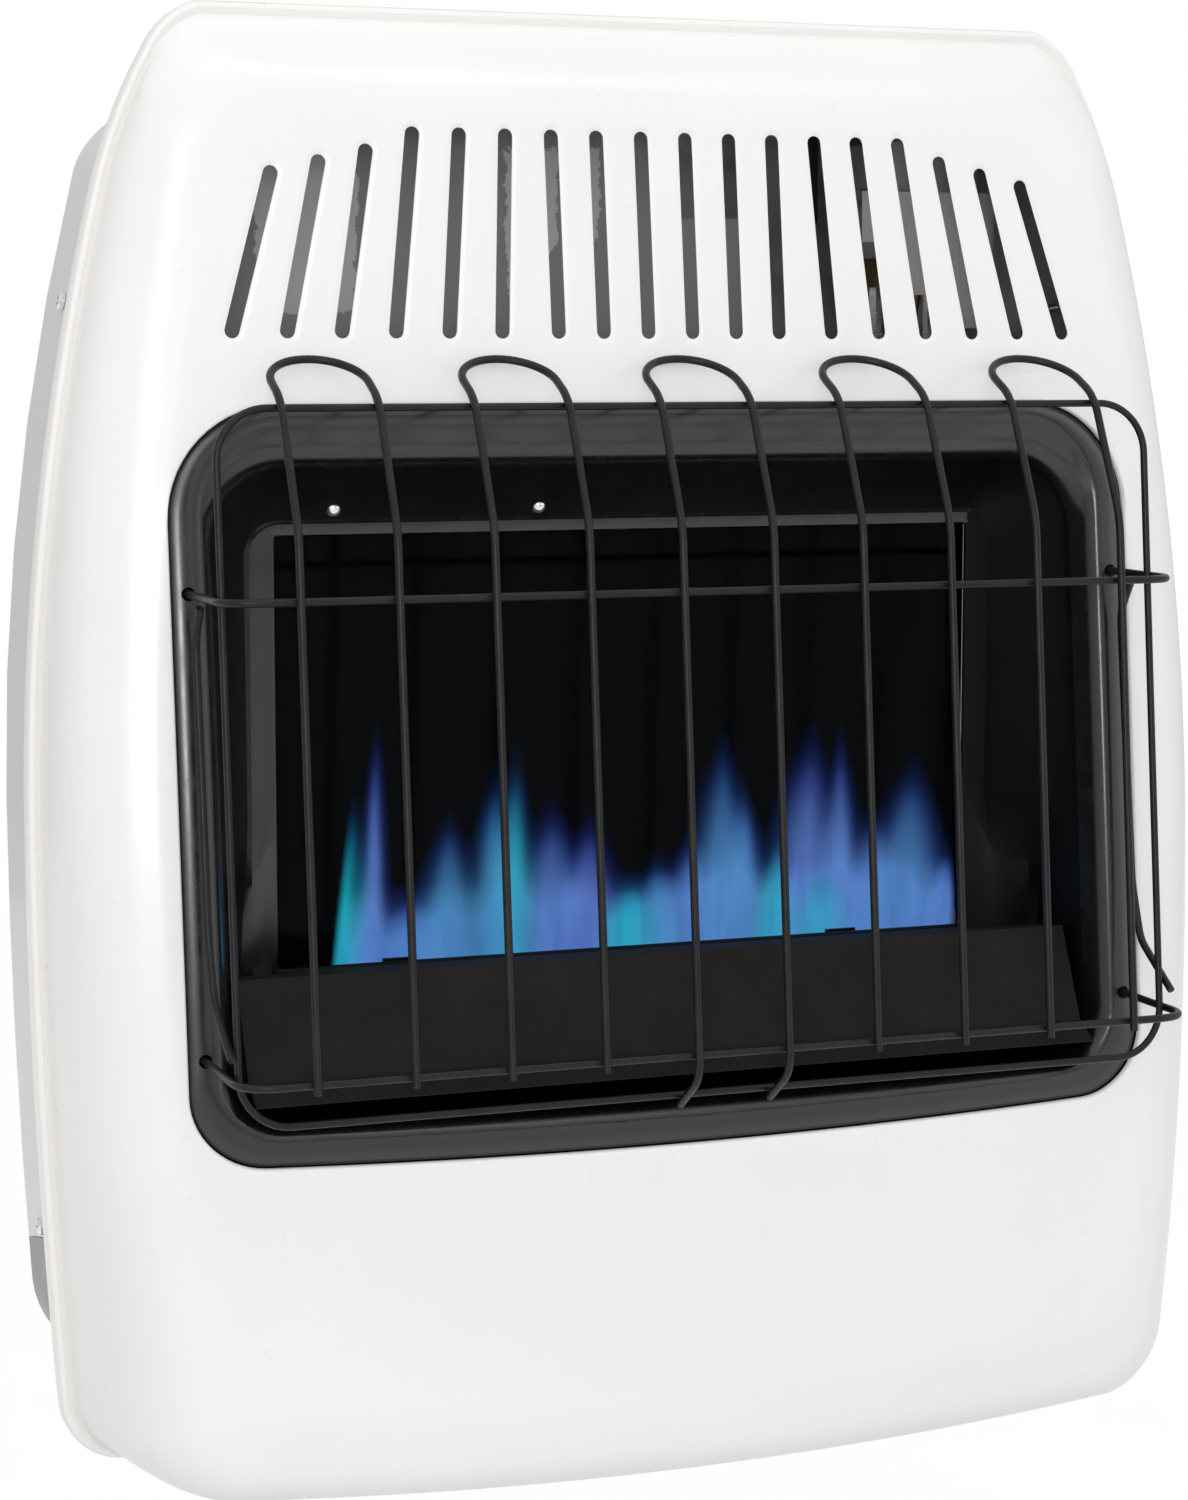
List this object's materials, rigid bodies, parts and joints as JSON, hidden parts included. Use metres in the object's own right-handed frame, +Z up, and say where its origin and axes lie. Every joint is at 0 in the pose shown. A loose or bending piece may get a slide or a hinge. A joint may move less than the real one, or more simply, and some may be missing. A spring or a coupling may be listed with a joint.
{
  "type": "wall mounted gas heater",
  "caption": "Wall mounted blue flame gas heater: pressed white front cover with vent slots, glass window, wire guard, steel casing, burner, control knob and push igniter.",
  "frame": {"origin": "middle of the wall bracket's two screw holes, on the wall plane", "axes": "+Z up, front faces -Y, X to the right seen from the front; the wall is the plane y = 0"},
  "size_m": [0.5086, 0.2099, 0.5877],
  "materials": {
    "white_enamel": "smooth white enamel, satin gloss",
    "black_enamel": "black enamel, satin",
    "black_wire": "black coated wire, satin",
    "casing_grey": "light grey paint, smooth",
    "pan_dark": "dark grey paint, satin",
    "galvanised": "galvanised sheet, dull",
    "aluminised": "aluminised sheet, matte",
    "steel": "plain steel",
    "bright_screw": "bright plated",
    "brass": "machined brass",
    "cast_aluminium": "die cast, matte",
    "tube_aluminium": "drawn tube, satin",
    "glass": "ceramic glass, polished",
    "gasket_fibre": "woven fibre rope",
    "knob_black": "moulded, matte",
    "igniter_black": "moulded, matte",
    "button_red": "moulded, glossy",
    "lead_orange": "silicone sleeve",
    "electrode_ceramic": "glazed ceramic and bare wire",
    "label": "thin plate, matte",
    "dial": "printed plate, matte"
  },
  "bodies": {
    "heater": {"front_cover": "white_enamel", "window_surround": "black_enamel", "lower_panel": "black_enamel", "window_glass": "glass", "glass_gasket": "gasket_fibre", "glass_clips": "galvanised", "clip_screws": "bright_screw", "guard_ring": "black_wire", "guard_bars": "black_wire", "guard_upper_wire": "black_wire", "guard_lower_wire": "black_wire", "guard_side_braces": "black_wire", "casing_wrapper": "casing_grey", "base_pan": "pan_dark", "back_panel": "galvanised", "wall_bracket": "galvanised", "casing_screws": "bright_screw", "firebox": "black_enamel", "heat_shield": "galvanised", "burner_tube": "aluminised", "burner_brackets": "steel", "air_shutter": "steel", "injector": "brass", "pilot_bracket": "steel", "pilot_burner": "brass", "thermocouple": "brass", "spark_electrode": "electrode_ceramic", "valve_body": "cast_aluminium", "valve_bonnet": "steel", "dial_plate": "dial", "control_bracket": "galvanised", "label_plate": "label", "igniter_body": "igniter_black", "igniter_nut": "steel", "ignition_lead": "lead_orange", "regulator": "cast_aluminium", "inlet_fitting": "brass", "supply_pipe": "tube_aluminium", "burner_pipe": "tube_aluminium", "pilot_pipe": "tube_aluminium", "pipe_nuts": "brass"},
    "valve_rotor": {"valve_rotor": "brass"},
    "knob": {"valve_spindle": "brass", "control_knob": "knob_black"},
    "igniter_button": {"igniter_button": "button_red"}
  },
  "joints": [
    {"name": "knob_turn", "type": "hinge", "parent": "heater", "child": "valve_rotor", "pos_m": [0.145, -0.048, 0], "axis": [0, 0, 1], "range_deg": [0, 240]},
    {"name": "knob_push", "type": "slide", "parent": "valve_rotor", "child": "knob", "axis": [0, 0, -1], "range_m": [0, 0.003], "stiffness_N_per_m": 1500, "springref_m": -0.002},
    {"name": "igniter_push", "type": "slide", "parent": "heater", "child": "igniter_button", "axis": [0, 0, -1], "range_m": [0, 0.006], "stiffness_N_per_m": 1200, "springref_m": -0.003}
  ]
}
